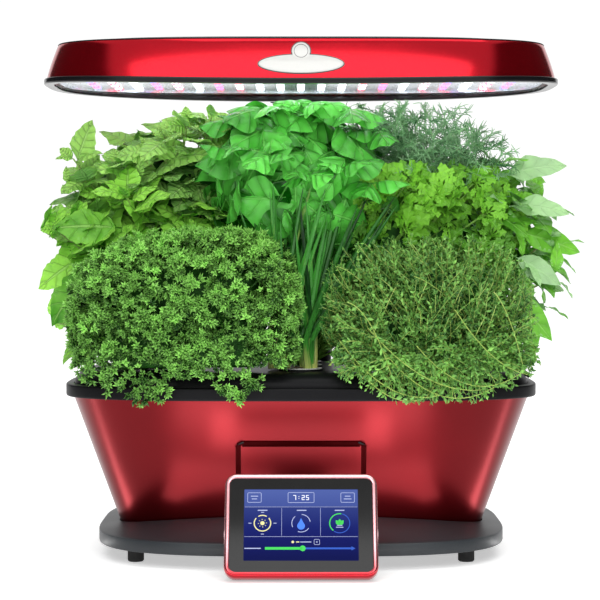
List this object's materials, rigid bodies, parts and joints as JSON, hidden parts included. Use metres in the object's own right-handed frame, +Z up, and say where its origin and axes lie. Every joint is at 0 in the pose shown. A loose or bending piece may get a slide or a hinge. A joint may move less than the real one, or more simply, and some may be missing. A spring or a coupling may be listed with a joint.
{
  "type": "hydroponic garden",
  "caption": "Countertop hydroponic herb garden: a lit hood on a telescoping mast over a tapered water bowl and grow deck, with a tilting touch screen on the base.",
  "frame": {"origin": "on the table, under the middle of the whole object", "axes": "+X to the right along the hood, -Y to the front where the touch screen stands, +Z up along the mast"},
  "size_m": [0.456, 0.3039, 0.4194],
  "materials": {
    "base_plastic": "satin",
    "black_plastic": "satin",
    "black_rubber": "matte",
    "red_metal": "satin",
    "red_plastic": "gloss",
    "steel": "satin",
    "aluminium": "satin",
    "black_metal": "satin",
    "circuit_board": "satin",
    "white_board": "satin",
    "silver_tray": "gloss",
    "clear_plastic": "gloss",
    "white_light": "gloss",
    "red_light": "gloss",
    "blue_light": "gloss",
    "off_white": "gloss",
    "dark_glass": "gloss",
    "display": "gloss",
    "label": "satin",
    "sponge": "matte",
    "foliage": "satin",
    "float_plastic": "satin",
    "impeller_plastic": "satin"
  },
  "bodies": {
    "base": {"base_shell": "base_plastic", "base_plate": "black_plastic", "base_feet": "black_rubber", "base_screws": "steel", "control_board": "circuit_board", "power_inlet": "black_plastic", "bowl_skin": "red_metal", "water_tank": "black_plastic", "deck_band": "black_plastic", "deck_skirt": "black_plastic", "grow_deck": "black_plastic", "lid_lugs": "black_plastic", "port_lid_pin": "steel", "grow_baskets": "black_plastic", "grow_sponges": "sponge", "pod_labels": "label", "pump_housing": "black_plastic", "pump_strainer": "black_plastic", "riser_tube": "clear_plastic", "float_guide": "black_plastic", "mast_socket": "black_plastic", "mast_outer": "black_metal", "outer_collar": "black_plastic", "screen_arm": "black_plastic", "herb_mint": "foliage", "herb_basil": "foliage", "herb_dill": "foliage", "herb_thai_basil": "foliage", "herb_lemon_balm": "foliage", "herb_flat_parsley": "foliage", "herb_chives": "foliage", "herb_curly_parsley": "foliage", "herb_thyme": "foliage"},
    "mast_middle": {"mast_middle": "aluminium", "middle_collar": "black_plastic"},
    "hood": {"mast_inner": "aluminium", "hood_bracket": "black_plastic", "hood_trim": "black_plastic", "hood_band": "red_metal", "hood_cover": "black_plastic", "hood_screws": "steel", "hood_badge": "off_white", "reflector": "silver_tray", "led_board": "white_board", "white_leds": "white_light", "red_leds": "red_light", "blue_leds": "blue_light", "light_lens": "clear_plastic", "heat_sink": "aluminium", "led_driver": "circuit_board"},
    "release_button": {"release_button": "steel"},
    "port_lid": {"port_lid": "black_plastic"},
    "screen": {"screen_pin": "steel", "screen_back": "black_plastic", "screen_bezel": "red_plastic", "touch_glass": "dark_glass", "display_panel": "display", "screen_board": "circuit_board"},
    "pump_impeller": {"pump_impeller": "impeller_plastic"},
    "float_body": {"float_body": "float_plastic"}
  },
  "joints": [
    {"name": "mast_middle_slide", "type": "slide", "parent": "base", "child": "mast_middle", "axis": [0, 0, 1], "range_m": [0, 0.225]},
    {"name": "hood_slide", "type": "slide", "parent": "mast_middle", "child": "hood", "axis": [0, 0, 1], "range_m": [0, 0.205]},
    {"name": "release_button_press", "type": "slide", "parent": "base", "child": "release_button", "axis": [0, -1, 0], "range_m": [0, 0.0018], "stiffness_N_per_m": 500, "springref_m": -0.001},
    {"name": "port_lid_hinge", "type": "hinge", "parent": "base", "child": "port_lid", "pos_m": [0.1344, 0.027, 0.1524], "axis": [0, -1, 0], "range_deg": [0, 60]},
    {"name": "screen_tilt", "type": "hinge", "parent": "base", "child": "screen", "pos_m": [0, -0.12061, 0.02657], "axis": [-1, 0, 0], "range_deg": [0, 20]},
    {"name": "impeller_spin", "type": "hinge", "parent": "base", "child": "pump_impeller", "pos_m": [0.084, 0.029, 0.04], "axis": [0, 0, 1], "continuous": true},
    {"name": "float_rise", "type": "slide", "parent": "base", "child": "float_body", "axis": [0, 0, 1], "range_m": [0, 0.058]}
  ]
}
